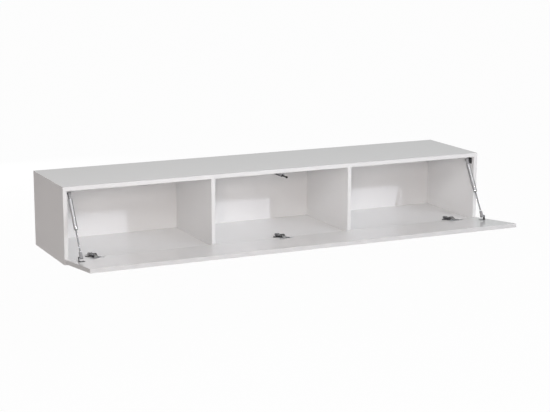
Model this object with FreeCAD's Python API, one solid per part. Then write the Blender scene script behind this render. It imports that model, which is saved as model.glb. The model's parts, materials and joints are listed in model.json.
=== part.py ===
import FreeCAD, Part
import math
import os
from FreeCAD import Vector, Rotation

# Floating media console: a wall-hung cabinet of three bays behind one full-width drop flap.
# Millimetres.  The model is built with X = 0 at the middle, Y = 0 at the wall, Z = 0 at the
# underside, +X to the right seen from the front and +Y towards the wall.  save() then moves
# every piece so that the origin is the centre of the wall screws on the wall face.

# ---- Carcass boards ----
width = 1800.0
height = 297.0
carcass_depth = 381.0
board = 16.0
bays = 3
edge_band = 1.0
back_thickness = 3.0
back_recess = 5.0
groove_depth = 6.0
groove_slack = 0.2

# ---- Carcass fasteners ----
fastener_front_inset = 65.0
fastener_rear_inset = 75.0
dowel_spacing = 32.0
dowel_radius = 4.0
dowel_length = 30.0
dowel_in_board = 12.0
cam_radius = 7.5
cam_depth = 12.5
cam_from_end = 24.0
cam_slot = 1.6
cam_bolt_radius = 3.5
cam_bolt_thread_radius = 2.5
cam_bolt_in_board = 11.0
cam_bolt_neck_radius = 2.0
cam_bolt_neck_reach = 9.5
cam_bolt_head = 4.0
cap_radius = 8.6
cap_thickness = 1.2
confirmat_shank_radius = 3.5
confirmat_thread_radius = 2.4
confirmat_head_radius = 5.0
confirmat_length = 48.0
confirmat_sink = 1.5
wood_screw_radius = 1.75
wood_screw_head_radius = 3.4
wood_screw_head = 2.2
wood_screw_length = 13.0
back_screws_per_upright = 3
back_screw_pitch = 62.0
back_screw_low = 45.0

# ---- Flap ----
flap_height = 297.0
flap_board = 16.0
flap_gap = 3.0
flap_arris = 0.8
open_angle = 84.0
open_edge_forward = 6.0
open_edge_height = 23.3

# ---- Concealed hinges ----
hinge_end_distance = 117.0
hinge_count = 3
cup_radius = 17.5
cup_wall = 0.8
cup_depth = 11.3
cup_bore_depth = 12.0
cup_edge_distance = 5.0
cup_bore_clearance = 0.1
flange_thickness = 1.2
flange_radius = 19.0
ear_spacing = 48.0
ear_radius = 6.5
ear_offset = 6.0
cup_pin_along = 11.0
cup_pin_depth = 4.5
arm_pin_reach = 27.0
hinge_pin_radius = 1.5
pin_clearance = 0.05
link_half_width = 6.2
link_thickness = 2.4
link_eye_radius = 3.0
link_knee_along = 7.5
link_knee_rise = 4.5
arm_half_width = 8.5
arm_sheet = 1.6
arm_tip_radius = 3.6
arm_length = 60.0
arm_shoulder = 16.0
plate_line = 37.0
plate_half_width = 25.0
plate_ear_radius = 6.0
plate_thickness = 2.4
plate_screw_half_spacing = 16.0
rail_half_width = 6.0
rail_height = 8.0
rail_length = 40.0
arm_screw_radius = 3.6
arm_screw_head = 1.6
arm_screw_inset = 8.0
arm_screw_spacing = 20.0

# ---- Gas struts ----
strut_inset = 33.0
strut_top_back = 28.4
strut_top_drop = 14.5
strut_foot_along = 96.0
strut_foot_rise = 15.2
tube_radius = 7.5
tube_wall = 1.2
tube_end = 144.7
tube_base = 4.0
tube_guide = 8.0
tube_lip = 1.6
rod_radius = 3.0
rod_clearance = 0.05
piston_length = 10.0
piston_clearance = 0.1
piston_from_guide = 3.0
ball_radius = 3.5
ball_clearance = 0.05
ball_neck_radius = 2.2
ball_mouth_radius = 3.0
ball_collar_radius = 4.5
ball_collar = 0.8
socket_radius = 6.5
socket_half_width = 6.5
socket_end = 4.6
socket_chamfer = 1.5
socket_neck_length = 21.5
socket_neck_radius = 6.0
socket_neck_root = 6.4
socket_grip = 12.0
side_mount_above = 8.0
side_mount_below = 16.8
side_mount_ahead = 13.0
side_mount_behind = 19.0
side_mount_corner = 3.0
side_mount_thickness = 3.0
side_mount_boss_radius = 6.0
side_mount_boss = 5.0
side_mount_screw_behind = 13.0
side_mount_screw_half_spacing = 7.0
foot_wing_offset = 10.3
foot_sheet = 1.6
foot_inboard = 12.0
foot_half_length = 7.5
foot_wing_radius = 4.5
foot_screw_half_spacing = 3.8
foot_gap = 0.3
rivet_radius = 4.0
rivet_head = 1.6

# ---- Push latch ----
latch_drop = 11.0
latch_radius = 6.0
latch_rounding = 1.0
latch_front = 8.0
latch_length = 67.0
latch_bore_radius = 3.2
latch_end_wall = 3.0
plunger_radius = 3.0
plunger_reach = 36.0
plunger_overlap = 20.0
tip_radius = 4.2
tip_length = 6.0
tip_proud = 2.0
tip_gap_closed = 0.4
saddle_half_width = 8.0
saddle_length = 12.0
saddle_front = 1.0
saddle_drop = 12.5
latch_ear_half_width = 17.0
latch_ear_thickness = 3.0
latch_ear_length = 14.0
latch_ear_back = 40.0
latch_ear_screw_half_spacing = 12.0

# ---- Cabinet hangers and wall plates ----
hanger_width = 20.0
hanger_depth = 46.0
hanger_height = 54.0
hanger_wall = 2.5
hanger_top_gap = 2.0
hook_half_width = 4.5
hook_sheet = 1.8
hook_drop = 12.0
hook_tongue = 10.0
hook_reach = 34.0
hook_wall_gap = 0.3
adjuster_radius = 2.5
adjuster_head_radius = 4.0
adjuster_head = 2.5
adjuster_length = 26.0
adjuster_drops = (20.0, 42.0)
cover_wall = 1.4
cover_length = 26.0
cover_gap = 0.3
plate_sheet = 2.0
wall_plate_width = 58.0
wall_plate_side_gap = 2.0
wall_plate_lip = 14.0
wall_plate_height = 51.0
wall_screw_radius = 3.0
wall_screw_from_face = 40.0
wall_screw_spacing = 22.0
wall_screw_centre_drop = 49.0
cutout_width = 58.0
cutout_height = 66.5

# ---- Derived places ----
front = -carcass_depth
board_front = front + edge_band
under_top = height - board
bay_width = (width - (bays + 1) * board) / bays
back_front = -(back_recess + back_thickness)
hinge_half_span = width / 2 - hinge_end_distance
strut_half_span = width / 2 - strut_inset
latch_z = under_top - latch_drop
cup_centre = cup_edge_distance + cup_radius
origin_z = under_top - wall_screw_centre_drop
x_axis = Vector(1, 0, 0)
y_axis = Vector(0, 1, 0)
z_axis = Vector(0, 0, 1)


def block(x0, x1, y0, y1, z0, z1):
    """A box between two opposite corners."""
    return Part.makeBox(x1 - x0, y1 - y0, z1 - z0, Vector(x0, y0, z0))


def rod(radius, start, end):
    """A cylinder between two points."""
    return Part.makeCylinder(radius, (end - start).Length, start, end - start)


def prism_x(points, x0, x1):
    """A side-view outline of (y, z) points, drawn out from x0 to x1."""
    corners = [Vector(x0, y, z) for y, z in points]
    face = Part.Face(Part.makePolygon(corners + corners[:1]))
    return face.extrude(Vector(x1 - x0, 0, 0))


def slot_plate(centre, along, half_length, radius, normal, thickness):
    """A flat bar with round ends: its middle, its direction and its thickness."""
    across = along.cross(normal)
    tip = along * (half_length - radius)
    ends = [Part.makeCylinder(radius, thickness, centre + tip * s, normal) for s in (-1, 1)]
    corners = [centre + tip * a + across * (radius * b) for a, b in ((-1, -1), (1, -1), (1, 1), (-1, 1))]
    bar = Part.Face(Part.makePolygon(corners + corners[:1])).extrude(normal * thickness)
    return bar.fuse(ends).removeSplitter()


def spin(profile, start, axis):
    """A turned piece: (distance along axis, radius) points spun about a line from start."""
    side = axis.cross(x_axis if abs(axis.x) < 0.5 else y_axis).normalize()
    outline = [start + axis * t + side * r for t, r in profile]
    face = Part.Face(Part.makePolygon(outline + outline[:1]))
    return face.revolve(start, axis, 360)


def wood_screw(head_face, into):
    """A countersunk wood screw: the middle of its head's face, and the way it is driven."""
    profile = [
        (0, 0),
        (0, wood_screw_head_radius),
        (wood_screw_head, wood_screw_radius),
        (wood_screw_length - wood_screw_head, wood_screw_radius),
        (wood_screw_length, 0),
    ]
    return spin(profile, head_face, into)


def mirrored(shape):
    return shape.mirror(Vector(0, 0, 0), x_axis)


def rims(shape):
    """The closed round edges of a shape, without its seams."""
    return [e for e in shape.Edges if len(e.Vertexes) == 1]


# ---- Uprights: the two sides and the dividers ----
upright_left = [-width / 2 + i * (board + bay_width) for i in range(bays + 1)]
upright_names = ["left_side_panel", "left_divider", "right_divider", "right_side_panel"]
upright_middle = [x + board / 2 for x in upright_left]


def front_and_back(spacing):
    """The two depths at which each joint has a fastener, moved in by a spacing."""
    return (front + fastener_front_inset + spacing, back_front - fastener_rear_inset - spacing)


def dowels():
    """Beech dowels that set each upright on the bottom board and under the top board."""
    pins = []
    for x in upright_middle:
        for y in front_and_back(dowel_spacing):
            low = board - dowel_in_board
            high = under_top + dowel_in_board
            pins.append(rod(dowel_radius, Vector(x, y, low), Vector(x, y, low + dowel_length)))
            pins.append(rod(dowel_radius, Vector(x, y, high - dowel_length), Vector(x, y, high)))
    return pins


def confirmat(x, y):
    """A one-piece chipboard screw driven up through the bottom board into an upright."""
    cone = confirmat_head_radius - confirmat_shank_radius
    profile = [
        (0, 0),
        (0, confirmat_head_radius),
        (cone, confirmat_shank_radius),
        (board - confirmat_sink, confirmat_shank_radius),
        (board - confirmat_sink, confirmat_thread_radius),
        (confirmat_length - confirmat_thread_radius, confirmat_thread_radius),
        (confirmat_length, 0),
    ]
    return spin(profile, Vector(x, y, confirmat_sink), z_axis)


def confirmat_recess(x, y):
    return rod(confirmat_head_radius, Vector(x, y, 0), Vector(x, y, confirmat_sink))


def cam_face(i):
    """The face of upright i that its cams are let into, and the way into the board."""
    inner_right = i < bays
    x = upright_left[i] + (board if inner_right else 0)
    return x, Vector(-1 if inner_right else 1, 0, 0)


def cam_bolt(x, y):
    """The bolt in the top board whose head a cam in the upright below pulls down."""
    centre = under_top - cam_from_end
    head_top = cam_bolt_head / 2
    reach = under_top + cam_bolt_in_board - centre
    profile = [
        (-head_top, 0),
        (-head_top, cam_bolt_radius),
        (head_top, cam_bolt_radius),
        (head_top, cam_bolt_neck_radius),
        (cam_bolt_neck_reach, cam_bolt_neck_radius),
        (cam_bolt_neck_reach, cam_bolt_radius),
        (under_top - centre, cam_bolt_radius),
        (under_top - centre, cam_bolt_thread_radius),
        (reach, cam_bolt_thread_radius),
        (reach, 0),
    ]
    return spin(profile, Vector(x, y, centre), z_axis)


def cam_space(i, y):
    x, into = cam_face(i)
    start = Vector(x, y, under_top - cam_from_end)
    return rod(cam_radius, start, start + into * cam_depth)


def cam_lock(i, y):
    """A turned cam with a driver slot, hollow where it grips the bolt's head."""
    x, into = cam_face(i)
    slot_depth = cam_depth / 8
    face = Vector(x, y, under_top - cam_from_end) + into * (slot_depth / 2)
    slot = Part.makeBox(slot_depth, 2 * cam_radius, cam_slot)
    slot.translate(face - Vector(slot_depth / 2, cam_radius, cam_slot / 2))
    grip = rod(
        cam_bolt_radius + groove_slack,
        Vector(upright_middle[i], y, under_top - cam_from_end - cam_bolt_head),
        Vector(upright_middle[i], y, under_top),
    )
    return cam_space(i, y).cut([slot, grip])


def cam_cap(i, y):
    """A thin domed cap over a cam."""
    x, into = cam_face(i)
    edge = cap_thickness / 2
    profile = [(0, 0), (0, cap_radius), (edge, cap_radius), (cap_thickness, cap_radius - edge), (cap_thickness, 0)]
    return spin(profile, Vector(x, y, under_top - cam_from_end), into * -1)


def joint_pieces():
    """Every fastener of the carcass, by node."""
    pairs = [(i, y) for i in range(bays + 1) for y in front_and_back(0)]
    return {
        "dowels": dowels(),
        "confirmat_screws": [confirmat(upright_middle[i], y) for i, y in pairs],
        "cam_bolts": [cam_bolt(upright_middle[i], y) for i, y in pairs],
        "cam_locks": [cam_lock(i, y) for i, y in pairs],
        "cam_caps": [cam_cap(i, y) for i, y in pairs],
        "cam_spaces": [cam_space(i, y) for i, y in pairs],
        "confirmat_caps": [confirmat_recess(upright_middle[i], y) for i, y in pairs],
    }


def back_groove_y():
    return (back_front - groove_slack / 2, -back_recess + groove_slack / 2)


# ---- Hanger places: the face each one is screwed to, and the way into its bay ----
def hanger_places():
    """(name, x of the face, +1 or -1 into the bay) for the four hangers."""
    return [
        ("left_side", upright_left[0] + board, 1),
        ("left_divider", upright_left[1] + board, 1),
        ("right_divider", upright_left[2], -1),
        ("right_side", upright_left[3], -1),
    ]


def at_hanger(shape, face_x, way):
    """Places a piece modelled from a face at X = 0 into +X."""
    placed = shape if way > 0 else mirrored(shape)
    return placed.translated(Vector(face_x, 0, 0))


def hanger_screws():
    """The screws of one hanger body, driven sideways into its upright."""
    y_mid = back_front - hanger_depth / 2
    z_mid = under_top - hanger_top_gap - hanger_height / 2
    offset_y = hanger_depth / 2 - hanger_wall - wood_screw_head_radius
    offset_z = hanger_height / 2 - hanger_wall - wood_screw_head_radius
    spots = [(-offset_y, offset_z), (-offset_y, -offset_z)]
    return [wood_screw(Vector(hanger_wall, y_mid + a, z_mid + b), x_axis * -1) for a, b in spots]


def hanger_body():
    """A steel housing open towards the wall, with driver holes in its front wall."""
    y0 = back_front - hanger_depth
    z1 = under_top - hanger_top_gap
    z0 = z1 - hanger_height
    shell = block(0, hanger_width, y0, back_front, z0, z1)
    hollow = block(
        hanger_wall, hanger_width - hanger_wall, y0 + hanger_wall, back_front, z0 + hanger_wall, z1 - hanger_wall
    )
    middle = hanger_width / 2
    holes = [
        rod(adjuster_radius + pin_clearance, Vector(middle, y0, under_top - d), Vector(middle, y0 + hanger_wall, under_top - d))
        for d in adjuster_drops
    ]
    return shell.cut([hollow] + holes + hanger_screws())


def hanger_hook():
    """The hook plate: it runs back over the wall plate's lip and turns down behind it."""
    middle = hanger_width / 2
    top = under_top - hook_drop
    x0 = middle - hook_half_width
    x1 = middle + hook_half_width
    tip_y = -hook_wall_gap
    run = block(x0, x1, back_front - hook_reach, tip_y, top - hook_sheet, top)
    tongue = block(x0, x1, tip_y - hook_sheet, tip_y, top - hook_tongue, top)
    carrier_bottom = under_top - adjuster_drops[-1] - adjuster_head_radius
    carrier_y = back_front - hook_reach
    carrier = block(x0, x1, carrier_y, carrier_y + 2 * hook_sheet, carrier_bottom, top)
    shape = run.fuse([tongue, carrier]).removeSplitter()
    return shape.cut(hanger_adjusters())


def hanger_adjusters():
    """The two driven screws that set the hook's height and draw it to the wall."""
    middle = hanger_width / 2
    y0 = back_front - hanger_depth
    profile = [
        (0, 0),
        (0, adjuster_radius),
        (hanger_wall, adjuster_radius),
        (hanger_wall, adjuster_head_radius),
        (hanger_wall + adjuster_head, adjuster_head_radius),
        (hanger_wall + adjuster_head, adjuster_radius),
        (adjuster_length, adjuster_radius),
        (adjuster_length, 0),
    ]
    return [spin(profile, Vector(middle, y0, under_top - d), y_axis) for d in adjuster_drops]


def hanger_cover():
    """A plastic cap that slides over the front of a hanger."""
    y0 = back_front - hanger_depth
    z1 = under_top - hanger_top_gap
    z0 = z1 - hanger_height
    outer = block(
        0, hanger_width + cover_gap + cover_wall,
        y0 - cover_gap - cover_wall, y0 + cover_length,
        z0 - cover_gap - cover_wall, z1 + cover_gap + cover_wall,
    )
    inner = block(0, hanger_width + cover_gap, y0 - cover_gap, y0 + cover_length, z0 - cover_gap, z1 + cover_gap)
    rounded = outer.makeFillet(cover_wall, outer_front_edges(outer))
    return rounded.cut(inner)


def outer_front_edges(shape):
    """The edges round the front face of a box, but for the one against the upright."""
    box = shape.BoundBox
    return [
        e for e in shape.Edges
        if abs(e.BoundBox.YMax - box.YMin) < groove_slack and e.BoundBox.XMax > box.XMin + groove_slack
    ]


def wall_plate():
    """A pressed steel plate: its foot lies on the wall, its lip stands off and carries the hook."""
    x0 = wall_plate_side_gap
    x1 = x0 + wall_plate_width
    top = under_top - hook_drop - hook_sheet
    step = top - wall_plate_lip
    low = top - wall_plate_height
    stand = plate_sheet + 2 * hook_wall_gap
    outline = [
        (0, low), (0, step), (-stand, step + plate_sheet), (-stand, top),
        (-stand - plate_sheet, top), (-stand - plate_sheet, step), (-plate_sheet, step - plate_sheet), (-plate_sheet, low),
    ]
    plate = prism_x(outline, x0, x1)
    centre = under_top - wall_screw_centre_drop
    holes = [
        rod(wall_screw_radius, Vector(wall_screw_from_face, -2 * plate_sheet, z), Vector(wall_screw_from_face, 0, z))
        for z in (centre - wall_screw_spacing / 2, centre + wall_screw_spacing / 2)
    ]
    return plate.cut(holes)


# ---- Hinge mechanism, in the side view (y, z) measured from the carcass front and underside ----
def turned(angle, point):
    """A (y, z) point turned about the origin, positive from +Y towards +Z."""
    c, s = math.cos(angle), math.sin(angle)
    return (c * point[0] - s * point[1], s * point[0] + c * point[1])


def closed_place(along, rise):
    """Where a point of the flap lies when it is shut: along from its low edge, rise off its back."""
    return (-flap_gap + rise, along)


def open_place(along, rise):
    """Where the same point lies when the flap is open."""
    y, z = turned(math.radians(open_angle), (rise, along))
    return (y - open_edge_forward, z + open_edge_height)


def flap_pole():
    """The point about which one turn takes the shut flap to the open one."""
    c = math.cos(math.radians(open_angle))
    s = math.sin(math.radians(open_angle))
    y0, z0 = closed_place(0, 0)
    y1, z1 = open_place(0, 0)
    a, b = y1 - (c * y0 - s * z0), z1 - (s * y0 + c * z0)
    det = (1 - c) ** 2 + s ** 2
    return (((1 - c) * a - s * b) / det, (s * a + (1 - c) * b) / det)


def heading(start, end):
    return math.atan2(end[1] - start[1], end[0] - start[0])


def arm_pin():
    """The pivot on the arm from which one link reaches the cup's pin, open and shut alike."""
    pole = flap_pole()
    shut_pin = closed_place(cup_pin_along, -cup_pin_depth)
    way = heading(pole, shut_pin) + math.radians(open_angle) / 2
    return (pole[0] + arm_pin_reach * math.cos(way), pole[1] + arm_pin_reach * math.sin(way))


def link_turn():
    """The angle that a link turns through, from open to shut."""
    pivot = arm_pin()
    opened = heading(pivot, open_place(cup_pin_along, -cup_pin_depth))
    shut = heading(pivot, closed_place(cup_pin_along, -cup_pin_depth))
    return shut - opened


def world(point, x=0.0):
    """A side-view point as a point of the model."""
    return Vector(x, point[0] + front, point[1])


def on_flap(shape):
    """Takes a piece from the flap's own frame, where Y rises off its back and Z runs up it."""
    placed = shape.copy()
    placed.rotate(Vector(0, 0, 0), x_axis, open_angle)
    placed.translate(world((-open_edge_forward, open_edge_height)))
    return placed


def hinge_x():
    pitch = 2 * hinge_half_span / (hinge_count - 1)
    return [-hinge_half_span + pitch * i for i in range(hinge_count)]


hinge_names = ["left", "middle", "right"]


def hinge_arm():
    """The cranked channel that reaches forward from the mounting plate to the links."""
    tip = arm_pin()
    top = board + rail_height + arm_sheet
    rise = tip[1] + arm_tip_radius
    base = board + plate_thickness + arm_sheet
    outline = [
        (arm_length, top), (arm_shoulder, top), (tip[0] + 2 * arm_tip_radius, rise), (tip[0], rise),
        (tip[0], tip[1] - arm_tip_radius), (arm_shoulder - arm_tip_radius, base), (arm_length, base),
    ]
    sides = prism_x([(y + front, z) for y, z in outline], -arm_half_width, arm_half_width)
    nose = rod(arm_tip_radius, world(tip, -arm_half_width), world(tip, arm_half_width))
    inner = arm_half_width - arm_sheet
    under = [(y + front, z - arm_sheet) for y, z in outline[:4]]
    under += [(tip[0] - 2 * arm_tip_radius + front, rise - arm_sheet), (tip[0] - 2 * arm_tip_radius + front, 0)]
    under += [(arm_length + front, 0)]
    hollow = prism_x(under, -inner, inner)
    open_nose = block(-inner, inner, front - 2 * arm_length, front + tip[0] + 2 * arm_tip_radius, 0, height)
    pin = rod(hinge_pin_radius, world(tip, -arm_half_width), world(tip, arm_half_width))
    return sides.fuse(nose).removeSplitter().cut([hollow, open_nose, pin] + arm_screws())


def arm_screws():
    """The fixing and adjusting screws in the top of the arm."""
    top = board + rail_height + arm_sheet
    first = front + arm_length - arm_screw_inset
    screws = []
    for i in range(2):
        seat = Vector(0, first - i * arm_screw_spacing, top)
        head = Part.makeCylinder(arm_screw_radius, arm_screw_head, seat, z_axis)
        shank = Part.makeCylinder(arm_screw_radius / 2, rail_height / 2 + arm_sheet, seat, z_axis * -1)
        screws.append(head.fuse(shank).removeSplitter())
    return screws


def hinge_plate_screws():
    return [
        wood_screw(Vector(s * plate_screw_half_spacing, front + plate_line, board + plate_thickness), z_axis * -1)
        for s in (-1, 1)
    ]


def hinge_plate():
    """The winged plate on the bottom board, with the rail that carries the arm."""
    middle = Vector(0, front + plate_line, board)
    wings = slot_plate(middle, x_axis, plate_half_width, plate_ear_radius, z_axis, plate_thickness)
    y1 = front + arm_length
    rail = block(-rail_half_width, rail_half_width, y1 - rail_length, y1, board, board + rail_height)
    return wings.fuse(rail).removeSplitter().cut(hinge_plate_screws() + arm_screws())


def link_strap(start, end):
    """One straight run of a link, in the side view."""
    way = Vector(0, end[0] - start[0], end[1] - start[1])
    across = Vector(0, -way.z, way.y).normalize() * (link_thickness / 2)
    a, b = world(start, -link_half_width), world(end, -link_half_width)
    corners = [a + across, b + across, b - across, a - across]
    return Part.Face(Part.makePolygon(corners + corners[:1])).extrude(x_axis * (2 * link_half_width))


def hinge_link():
    """The cranked link from the arm's pin, over the cup's rim, to the cup's pin."""
    start = arm_pin()
    knee = open_place(link_knee_along, link_knee_rise)
    end = open_place(cup_pin_along, -cup_pin_depth)
    rounds = ((start, link_eye_radius), (knee, link_thickness / 2), (end, link_eye_radius))
    eyes = [rod(r, world(p, -link_half_width), world(p, link_half_width)) for p, r in rounds]
    straps = link_strap(start, knee).fuse([link_strap(knee, end)] + eyes).removeSplitter()
    bores = [
        rod(hinge_pin_radius + pin_clearance, world(p, -arm_half_width), world(p, arm_half_width))
        for p in (start, end)
    ]
    return straps.cut(bores)


def arm_pivot_pin():
    tip = arm_pin()
    return rod(hinge_pin_radius, world(tip, -arm_half_width), world(tip, arm_half_width))


def cup_hollow():
    """The inside of the cup, in the flap's frame."""
    centre = Vector(0, flange_thickness, cup_centre)
    return Part.makeCylinder(cup_radius - cup_wall, cup_depth - cup_wall + flange_thickness, centre, y_axis * -1)


def cup_screws():
    return [
        wood_screw(Vector(s * ear_spacing / 2, flange_thickness, cup_centre + ear_offset), y_axis * -1)
        for s in (-1, 1)
    ]


def hinge_cup():
    """The pressed cup let into the flap, with a flange and two screw ears on its back."""
    centre = Vector(0, 0, cup_centre)
    wall = Part.makeCylinder(cup_radius, cup_depth, centre, y_axis * -1)
    ring = Part.makeCylinder(flange_radius, flange_thickness, centre, y_axis)
    ears = slot_plate(
        Vector(0, 0, cup_centre + ear_offset), x_axis,
        ear_spacing / 2 + ear_radius, ear_radius, y_axis, flange_thickness,
    )
    solid = wall.fuse([ring, ears]).removeSplitter()
    return solid.cut([cup_hollow()] + cup_screws())


def cup_pin():
    """The pin across the inside of the cup, from wall to wall."""
    start = Vector(-cup_radius, -cup_pin_depth, cup_pin_along)
    return rod(hinge_pin_radius, start, start + x_axis * (2 * cup_radius)).common(cup_hollow())


# ---- Gas struts, modelled for the left end and mirrored ----
def strut_top():
    return (strut_top_back, under_top - strut_top_drop)


def strut_length(shut):
    place = closed_place if shut else open_place
    foot = place(strut_foot_along, strut_foot_rise)
    return math.dist(strut_top(), foot)


def strut_turn():
    """The angle that a strut turns through, from open to shut."""
    opened = heading(strut_top(), open_place(strut_foot_along, strut_foot_rise))
    shut = heading(strut_top(), closed_place(strut_foot_along, strut_foot_rise))
    return shut - opened


strut_x = -strut_half_span
strut_start = world(strut_top(), strut_x)
strut_foot = world(open_place(strut_foot_along, strut_foot_rise), strut_x)
strut_way = (strut_foot - strut_start).normalize()
side_face = -width / 2 + board


def strut_point(distance):
    return strut_start + strut_way * distance


def strut_tube():
    """The pressure tube: closed at its head, with a rod guide in its mouth."""
    profile = [
        (socket_neck_length, 0), (socket_neck_length, tube_radius - tube_lip),
        (socket_neck_length + tube_lip, tube_radius),
        (tube_end - tube_lip, tube_radius), (tube_end, tube_radius - tube_lip),
        (tube_end, rod_radius + rod_clearance), (tube_end - tube_guide, rod_radius + rod_clearance),
        (tube_end - tube_guide, tube_radius - tube_wall),
        (socket_neck_length + tube_base, tube_radius - tube_wall), (socket_neck_length + tube_base, 0),
    ]
    return spin(profile, strut_start, strut_way)


def strut_rod():
    """The piston rod with its piston."""
    head = tube_end - tube_guide - piston_from_guide - piston_length
    bore = tube_radius - tube_wall - piston_clearance
    end = strut_length(False) - socket_neck_length + socket_grip
    profile = [
        (head, 0), (head, bore), (head + piston_length, bore), (head + piston_length, rod_radius),
        (end, rod_radius), (end, 0),
    ]
    return spin(profile, strut_start, strut_way)


def ball_socket(centre, way, grip_radius):
    """A moulded end fitting: a flat-ended housing for the ball and a neck that tapers along way."""
    outboard = centre - x_axis * socket_half_width
    barrel = Part.makeCylinder(socket_radius, 2 * socket_half_width, outboard, x_axis)
    chamfered = barrel.makeChamfer(socket_chamfer, rims(barrel))
    beyond = centre - way * socket_end
    housing = chamfered.cut(rod(2 * socket_radius, beyond - way * (2 * socket_radius), beyond))
    taper = [
        (0, 0), (0, socket_neck_root), (socket_neck_length, socket_neck_radius), (socket_neck_length, 0),
    ]
    neck = spin(taper, centre, way)
    ball_room = Part.makeSphere(ball_radius + ball_clearance, centre)
    mouth = rod(ball_mouth_radius, outboard, centre)
    inner = rod(grip_radius, centre + way * (socket_neck_length - socket_grip), centre + way * (2 * socket_neck_length))
    return housing.fuse(neck).removeSplitter().cut([ball_room, mouth, inner])


def strut_tube_socket():
    return ball_socket(strut_start, strut_way, grip_stub_radius())


def grip_stub_radius():
    return rod_radius


def strut_tube_stub():
    """The threaded stub on the tube's head that its end fitting is screwed on."""
    return rod(grip_stub_radius(), strut_point(socket_neck_length - socket_grip), strut_point(socket_neck_length))


def strut_rod_socket():
    return ball_socket(strut_foot, strut_way * -1, rod_radius)


def ball_stud(centre, base_x):
    """A ball on a neck that runs outboard to a flat seat."""
    ball = Part.makeSphere(ball_radius, centre)
    seat = Vector(base_x, centre.y, centre.z)
    neck = rod(ball_neck_radius, seat, centre)
    collar = Part.makeCylinder(ball_collar_radius, ball_collar, seat, x_axis)
    return ball.fuse([neck, collar]).removeSplitter()


def side_mount_screws():
    face = side_face + side_mount_thickness
    y = strut_start.y + side_mount_screw_behind
    z = strut_start.z + (side_mount_above - side_mount_below) / 2
    return [wood_screw(Vector(face, y, z + s * side_mount_screw_half_spacing), x_axis * -1) for s in (-1, 1)]


def strut_side_mount():
    """The plate and boss on the side panel that the upper ball stands on."""
    centre = Vector(side_face, strut_start.y, strut_start.z)
    plate = block(
        side_face, side_face + side_mount_thickness,
        centre.y - side_mount_ahead, centre.y + side_mount_behind,
        centre.z - side_mount_below, centre.z + side_mount_above,
    )
    corners = [e for e in plate.Edges if e.BoundBox.XLength > e.BoundBox.YLength + e.BoundBox.ZLength]
    rounded = plate.makeFillet(side_mount_corner, corners)
    boss = Part.makeCylinder(side_mount_boss_radius, side_mount_thickness + side_mount_boss, centre, x_axis)
    return rounded.fuse(boss).removeSplitter().cut(side_mount_screws())


def strut_top_stud():
    base = side_face + side_mount_thickness + side_mount_boss
    return ball_stud(strut_start, base)


def foot_screws():
    """Screws through the foot, in the flap's frame."""
    middle = strut_x - foot_wing_offset + (foot_wing_offset + foot_inboard) / 2
    return [
        wood_screw(Vector(middle, foot_sheet, strut_foot_along + s * foot_screw_half_spacing), y_axis * -1)
        for s in (-1, 1)
    ]


def foot_bracket():
    """The angle bracket on the flap: a foot under the strut's end and a wing beside it."""
    wing_x = strut_x - foot_wing_offset
    low = strut_foot_along - foot_half_length
    high = strut_foot_along + foot_half_length
    foot = block(wing_x, strut_x + foot_inboard, 0, foot_sheet, low, high)
    top = Vector(wing_x, strut_foot_rise, strut_foot_along)
    crown = Part.makeCylinder(foot_wing_radius, foot_sheet, top, x_axis)
    side = [
        (0, low), (0, high), (foot_sheet, high),
        (strut_foot_rise, strut_foot_along + foot_wing_radius), (strut_foot_rise, strut_foot_along - foot_wing_radius),
        (foot_sheet, low),
    ]
    wing = prism_x(side, wing_x, wing_x + foot_sheet)
    head = Part.makeCylinder(rivet_radius, rivet_head, top, x_axis * -1)
    return foot.fuse([wing, crown, head]).removeSplitter().cut(foot_screws())


def strut_foot_stud():
    base = strut_x - foot_wing_offset + foot_sheet + foot_gap
    return ball_stud(strut_foot, base)


# ---- Push latch under the middle of the top board ----
def latch_point(back):
    return Vector(0, front + back, latch_z)


def latch_body():
    """The latch's round barrel, bored for the plunger."""
    rear = latch_front + latch_length
    barrel = rod(latch_radius, latch_point(latch_front), latch_point(rear))
    rounded = barrel.makeFillet(latch_rounding, rims(barrel))
    return rounded.cut(rod(latch_bore_radius, latch_point(0), latch_point(rear - latch_end_wall)))


def latch_screws():
    y = front + latch_ear_back
    z = under_top - latch_ear_thickness
    return [wood_screw(Vector(s * latch_ear_screw_half_spacing, y, z), z_axis) for s in (-1, 1)]


def latch_holder():
    """The holder under the top board: a saddle round the barrel's nose and two screw ears."""
    y0 = front + saddle_front
    saddle = block(-saddle_half_width, saddle_half_width, y0, y0 + saddle_length, under_top - saddle_drop, under_top)
    y1 = front + latch_ear_back
    spine = block(-latch_radius, latch_radius, y0, y1, latch_z, under_top)
    ears = block(
        -latch_ear_half_width, latch_ear_half_width,
        y1 - latch_ear_length / 2, y1 + latch_ear_length / 2,
        under_top - latch_ear_thickness, under_top,
    )
    room = rod(latch_radius, latch_point(0), latch_point(latch_front + latch_length))
    return saddle.fuse([spine, ears]).removeSplitter().cut([room] + latch_screws())


def latch_plunger():
    return rod(plunger_radius, latch_point(-plunger_reach), latch_point(latch_front + plunger_overlap))


def latch_tip():
    """The soft round tip that meets the flap."""
    nose = -plunger_reach - tip_proud
    profile = [
        (0, 0), (0, tip_radius - tip_proud / 2), (tip_proud / 2, tip_radius), (tip_length, tip_radius),
        (tip_length, 0),
    ]
    return spin(profile, latch_point(nose), y_axis).cut(latch_plunger())


def plunger_travel():
    return plunger_reach + tip_proud - flap_gap + tip_gap_closed


# ---- Boards ----
def hardware_screws():
    """Every wood screw that goes into the carcass, hanger, hinge, strut and latch screws."""
    screws = []
    for _, face_x, way in hanger_places():
        screws += [at_hanger(s, face_x, way) for s in hanger_screws()]
    for x in hinge_x():
        screws += [s.translated(Vector(x, 0, 0)) for s in hinge_plate_screws()]
    left = side_mount_screws()
    screws += left + [mirrored(s) for s in left]
    return screws + latch_screws() + back_panel_screws()


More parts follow.
